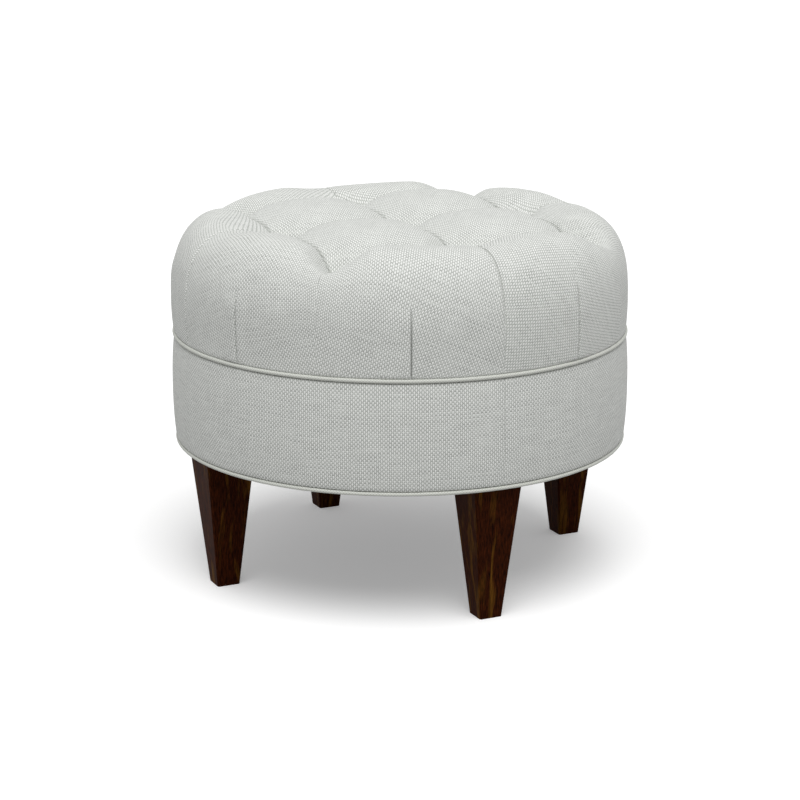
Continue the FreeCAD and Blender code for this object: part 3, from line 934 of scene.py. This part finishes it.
def makeTwines():
    low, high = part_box("tufting_twines")
    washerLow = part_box("tufting_washers")[0]
    steps = int((high.z - washerLow.z) / twine["layLength"] * twine["stepsPerLay"])
    z = np.linspace(washerLow.z, high.z, steps)
    turn = 2 * math.pi * z / twine["layLength"]
    around = np.linspace(0, 2 * math.pi, twine["knotSteps"], endpoint=False)
    work = bmesh.new()
    loop = twine["knotRadius"] / 3
    for x, y in tuftPlaces():
        for start in (0, math.pi):
            strand = np.stack([x + twine["layRadius"] * np.cos(turn + start),
                               y + twine["layRadius"] * np.sin(turn + start), z], -1)
            addTube(work, strand, twine["strandRadius"], twine["sides"])
        knot = np.stack([x + loop * (np.sin(around) + 2 * np.sin(2 * around)),
                         y + loop * (np.cos(around) - 2 * np.cos(2 * around)),
                         washerLow.z - twine["knotDrop"] - twine["knotWave"] * np.sin(3 * around)], -1)
        addTube(work, knot, twine["knotStrand"], twine["sides"], closed=True)
    bmesh.ops.recalc_face_normals(work, faces=work.faces)
    piece = addPiece("twistedTwines", meshFromWork("twistedTwines", work), twineMaterial)
    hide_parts("tufting_twines")


makeTwines()
print("twines made")


# dust cloth under the base, with its staples

dust = {
    "longestEdge": 14.0 * mm,
    "sag": 1.2 * mm,
    "sagReach": 60.0 * mm,            # how far in from the staples the cloth takes to sag fully
    "sagEven": 0.6,
    "sagUneven": 0.8,
    "unevenSize": mm / 0.014,
    "stapleCount": 44,
    "stapleRing": 243.0 * mm,
    "stapleCrown": 10.0 * mm,
    "stapleWire": 0.9 * mm,
    "stapleLeg": 0.3 * mm,            # how far a leg shows into the cloth
    "stapleSlant": 0.12,              # in radians, either way
    "stapleSeed": 3,
}


def makeDustCloth():
    # the cut-out sheet sags a little between its staples
    work = bmesh.new()
    work.from_mesh(nodes["dust_cover"].data)
    bmesh.ops.remove_doubles(work, verts=work.verts, dist=0.05 * mm)
    for step in range(12):            # more rounds than it ever takes
        long = [edge for edge in work.edges if edge.calc_length() > dust["longestEdge"]]
        if not long:
            break
        bmesh.ops.subdivide_edges(work, edges=long, cuts=1)
        bmesh.ops.triangulate(work, faces=work.faces)
    for vert in work.verts:
        fromStaples = dust["stapleRing"] - math.hypot(vert.co.x, vert.co.y)
        uneven = dust["sagEven"] + dust["sagUneven"] * noise.noise(vert.co / dust["unevenSize"])
        vert.co.z -= dust["sag"] * min(1.0, max(0.0, fromStaples / dust["sagReach"])) * uneven
    mesh = meshFromWork("dustCloth", work)
    piece = addPiece("dustCloth", mesh, cambricMaterial, smooth=False)
    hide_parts("dust_cover")


def stapleMesh():
    # crown and the two tops of the legs, where they enter the cloth
    half, wire, leg = dust["stapleCrown"] / 2, dust["stapleWire"] / 2, dust["stapleLeg"]
    work = bmesh.new()
    path = np.array([[-half, 0, leg], [-half, 0, -wire], [-half + wire, 0, -1.4 * wire],
                     [half - wire, 0, -1.4 * wire], [half, 0, -wire], [half, 0, leg]])
    addTube(work, path, wire, 4)
    bmesh.ops.recalc_face_normals(work, faces=work.faces)
    return meshFromWork("staple", work)


def stapleTree(staple, material):
    tree, given = newTree("stapleRing", (("Count", "Int"), ("Ring Radius", "Float"), ("Height", "Float")))
    ring = addNode(tree, "GeometryNodeMeshCircle", {"Vertices": given["Count"],
                                                    "Radius": given["Ring Radius"]})
    parts = addNode(tree, "ShaderNodeSeparateXYZ", {0: addNode(tree, "GeometryNodeInputPosition")}).outputs
    turn = addNode(tree, "ShaderNodeMath", {0: parts[1], 1: parts[0]}, operation="ARCTAN2")
    wander = addNode(tree, "FunctionNodeRandomValue", {2: -dust["stapleSlant"], 3: dust["stapleSlant"],
                                                       "Seed": dust["stapleSeed"]}, data_type="FLOAT")
    slant = addNode(tree, "ShaderNodeMath", {0: turn, 1: wander.outputs[1]}, operation="ADD")
    across = addNode(tree, "ShaderNodeMath", {0: slant, 1: math.pi / 2}, operation="ADD")
    facing = addNode(tree, "ShaderNodeCombineXYZ", {2: across})
    one = addNode(tree, "GeometryNodeObjectInfo", {"Object": staple}).outputs["Geometry"]
    placed = addNode(tree, "GeometryNodeInstanceOnPoints", {0: raisedTo(tree, ring, given["Height"]),
                                                            "Instance": one, "Rotation": facing})
    finishTree(tree, placed, material)
    return tree


zincSettings = {
    "light": "#d4d6d8",
    "dull": "#a9adb2",
    "spangleSize": mm / 0.3,
    "finish": {"Metallic": 1.0, "Roughness": 0.32},
}


def zincPlate(name, settings):
    # bright zinc plating: cool grey metal with faint cloudy spangle and a low even shine
    material, tree = newMaterial(name)
    place = addNode(tree, "ShaderNodeTexCoord").outputs["Object"]
    cloud = addNode(tree, "ShaderNodeTexNoise", {"Vector": place, "Scale": 1 / settings["spangleSize"],
                                                 "Detail": 2.0})
    colour = addNode(tree, "ShaderNodeMix", {0: cloud, 6: linearColour(settings["dull"]),
                                             7: linearColour(settings["light"])}, data_type="RGBA")
    finishMaterial(tree, colour.outputs[2], settings["finish"])
    return material


zincMaterial = zincPlate("brightZincPlate", zincSettings)


def makeStaples():
    staple = addObject("staple", stapleMesh())
    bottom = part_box("dust_cover")[0].z
    mesh = grownMesh("dustStaples", stapleTree(staple, zincMaterial), {
        "Count": dust["stapleCount"], "Ring Radius": dust["stapleRing"], "Height": bottom})
    bpy.data.objects.remove(staple)
    addPiece("dustStaples", mesh, zincMaterial, smooth=False)


makeDustCloth()
makeStaples()
print("dust cloth and staples made")


# frame woods

frameWoods = {
    "plyLight": "#dcc299",
    "plyDark": "#a98354",
    "plyThickness": 1.5 * mm,
    "plyLines": 0.4,                  # how dark the glue lines are
    "grainSize": 6.25 * mm,
    "grainDraw": 0.08,
    "plyRelief": (0.2, 0.1 * mm),     # strength and depth
    "pineLight": "#e3c794",
    "pineDark": "#b98d55",
    "ringWidth": 4.0 * mm,
    "ringDraw": 0.06,
    "pineRelief": (0.3, 0.2 * mm),
}


def plywood(name, settings):
    # birch plywood: calm pale face, and thin darker lines where the glued plies end at an edge
    material, tree = newMaterial(name)
    place = addNode(tree, "ShaderNodeTexCoord").outputs["Object"]
    run = addNode(tree, "ShaderNodeMapping", {0: place, 3: (1.0, settings["grainDraw"], 1.0)})
    grain = addNode(tree, "ShaderNodeTexNoise", {"Vector": run, "Scale": 1 / settings["grainSize"],
                                                 "Detail": 4.0, "Distortion": 0.3})
    height = addNode(tree, "ShaderNodeSeparateXYZ", {0: place}).outputs[2]
    layer = addNode(tree, "ShaderNodeMath", {0: height, 1: math.pi / settings["plyThickness"]},
                    operation="MULTIPLY")
    wave = addNode(tree, "ShaderNodeMath", {0: layer}, operation="SINE")
    normal = addNode(tree, "ShaderNodeNewGeometry").outputs["Normal"]
    facing = addNode(tree, "ShaderNodeSeparateXYZ", {0: normal})
    upright = addNode(tree, "ShaderNodeMath", {0: facing.outputs[2]}, operation="ABSOLUTE")
    onEdge = addNode(tree, "ShaderNodeMath", {0: 1.0, 1: upright}, operation="SUBTRACT")
    lines = addNode(tree, "ShaderNodeMath", {0: wave, 1: onEdge}, operation="MULTIPLY")
    share = addNode(tree, "ShaderNodeMath", {0: lines, 1: settings["plyLines"], 2: grain},
                    operation="MULTIPLY_ADD")
    colour = addNode(tree, "ShaderNodeMix", {0: share, 6: linearColour(settings["plyLight"]),
                                             7: linearColour(settings["plyDark"])}, data_type="RGBA")
    finishMaterial(tree, colour.outputs[2], {"Roughness": 0.7}, (grain, *settings["plyRelief"]))
    return material


def sawnPine(name, settings):
    # sawn softwood: yellow with browner late wood in bands along the piece
    material, tree = newMaterial(name)
    place = addNode(tree, "ShaderNodeTexCoord").outputs["Object"]
    run = addNode(tree, "ShaderNodeMapping", {0: place, 3: (1.0, 1.0, settings["ringDraw"])})
    # the wave repeats every 0.314 at a scale of one
    wave = addNode(tree, "ShaderNodeTexWave", {"Vector": run, "Scale": 0.314 / settings["ringWidth"],
                                               "Distortion": 2.5, "Detail": 3.0}, wave_type="RINGS")
    rings = wave.outputs[1]
    colour = addNode(tree, "ShaderNodeMix", {0: rings, 6: linearColour(settings["pineLight"]),
                                             7: linearColour(settings["pineDark"])}, data_type="RGBA")
    finishMaterial(tree, colour.outputs[2], {"Roughness": 0.75}, (rings, *settings["pineRelief"]))
    return material


def finishFrame():
    sides = ("left", "front", "right", "back")
    plywoodMaterial = plywood("birchPlywood", frameWoods)
    pineMaterial = sawnPine("sawnPine", frameWoods)
    finishes = {
        stainedWood("espressoStainedHardwood", stainedWoodSettings): ["leg_" + side for side in sides],
        plywoodMaterial: ["base_board", "top_deck"] + ["leg_block_" + side for side in sides],
        pineMaterial: ["post_" + str(number) for number in range(1, 9)],
        hardboardMaterial: ["side_hoop"],
        cardMaterial: ["tack_strip", "tufting_washers"],
        zincMaterial: ["hanger_bolts", "tee_nuts"],
    }
    for material, names in finishes.items():
        for name in names:
            nodes[name].data.materials.clear()
            nodes[name].data.materials.append(material)


finishFrame()
print("frame finished")


# stage, lights and camera

studio = {
    "cameraPlace": (-1.0926, -2.3290, 0.8774),
    "cameraAim": (0.0, 0.0, 0.1905),
    "lens": 102.95,
    "sensorWidth": 36.0,
    "ambient": 0.475,
    "keyStrength": 2.2,
    "keyAngle": 45.0,
    "keyAzimuth": -20.0,
    "keyElevation": 67.0,
    "floorSize": 8.0,
    "floorColour": "#ededed",
    "floorBounce": "#b4b4b4",
    "floorGlow": 0.25,                # lifts the lit floor to white for the camera, and keeps its shadow
}


def seenByEye(tree):
    # one where the camera looks, straight or in a reflection or through glass
    path = addNode(tree, "ShaderNodeLightPath").outputs
    seen = addNode(tree, "ShaderNodeMath", {0: path["Is Camera Ray"], 1: path["Is Glossy Ray"]},
                   operation="MAXIMUM")
    return addNode(tree, "ShaderNodeMath", {0: seen, 1: path["Is Transmission Ray"]}, operation="MAXIMUM")


def makeStage():
    work = bmesh.new()
    bmesh.ops.create_grid(work, x_segments=1, y_segments=1, size=studio["floorSize"])
    floor = addObject("floor", meshFromWork("floor", work))
    material, tree = newMaterial("whitePaperFloor")
    diffuse = addNode(tree, "ShaderNodeBsdfDiffuse", {0: linearColour(studio["floorColour"])})
    dull = addNode(tree, "ShaderNodeBsdfDiffuse", {0: linearColour(studio["floorBounce"])})
    lift = addNode(tree, "ShaderNodeEmission", {0: (1, 1, 1, 1), 1: studio["floorGlow"]})
    both = addNode(tree, "ShaderNodeAddShader", {0: diffuse, 1: lift})
    shown = addNode(tree, "ShaderNodeMixShader", {0: seenByEye(tree), 1: dull, 2: both})
    # clear from below, so that the underside of the stool can be looked at
    fromBelow = addNode(tree, "ShaderNodeNewGeometry").outputs["Backfacing"]
    clear = addNode(tree, "ShaderNodeBsdfTransparent")
    oneSided = addNode(tree, "ShaderNodeMixShader", {0: fromBelow, 1: shown, 2: clear})
    addNode(tree, "ShaderNodeOutputMaterial", {0: oneSided})
    floor.data.materials.append(material)


def makeWorld():
    world = bpy.data.worlds.new("studio")
    bpy.context.scene.world = world
    world.use_nodes = True
    tree = world.node_tree
    tree.nodes.clear()
    soft = addNode(tree, "ShaderNodeBackground", {0: (1, 1, 1, 1), 1: studio["ambient"]})
    white = addNode(tree, "ShaderNodeBackground", {0: (1, 1, 1, 1), 1: 1.0})
    mixed = addNode(tree, "ShaderNodeMixShader", {0: seenByEye(tree), 1: soft, 2: white})
    addNode(tree, "ShaderNodeOutputWorld", {0: mixed})


def makeLights():
    key = addObject("key", bpy.data.lights.new("key", "SUN"))
    key.data.energy = studio["keyStrength"]
    key.data.angle = math.radians(studio["keyAngle"])
    turn, rise = math.radians(studio["keyAzimuth"]), math.radians(studio["keyElevation"])
    fromSide = Vector((math.sin(turn) * math.cos(rise), -math.cos(turn) * math.cos(rise), math.sin(rise)))
    key.rotation_euler = fromSide.to_track_quat("Z", "Y").to_euler()


def makeCamera():
    camera = addObject("camera", bpy.data.cameras.new("camera"))
    camera.data.lens = studio["lens"]
    camera.data.sensor_width = studio["sensorWidth"]
    camera.location = studio["cameraPlace"]
    aim = Vector(studio["cameraAim"]) - Vector(studio["cameraPlace"])
    camera.rotation_euler = aim.to_track_quat("-Z", "Y").to_euler()
    bpy.context.scene.camera = camera


makeStage()
makeWorld()
makeLights()
makeCamera()
bpy.context.scene.view_settings.view_transform = "Standard"
print("stage, lights and camera made")
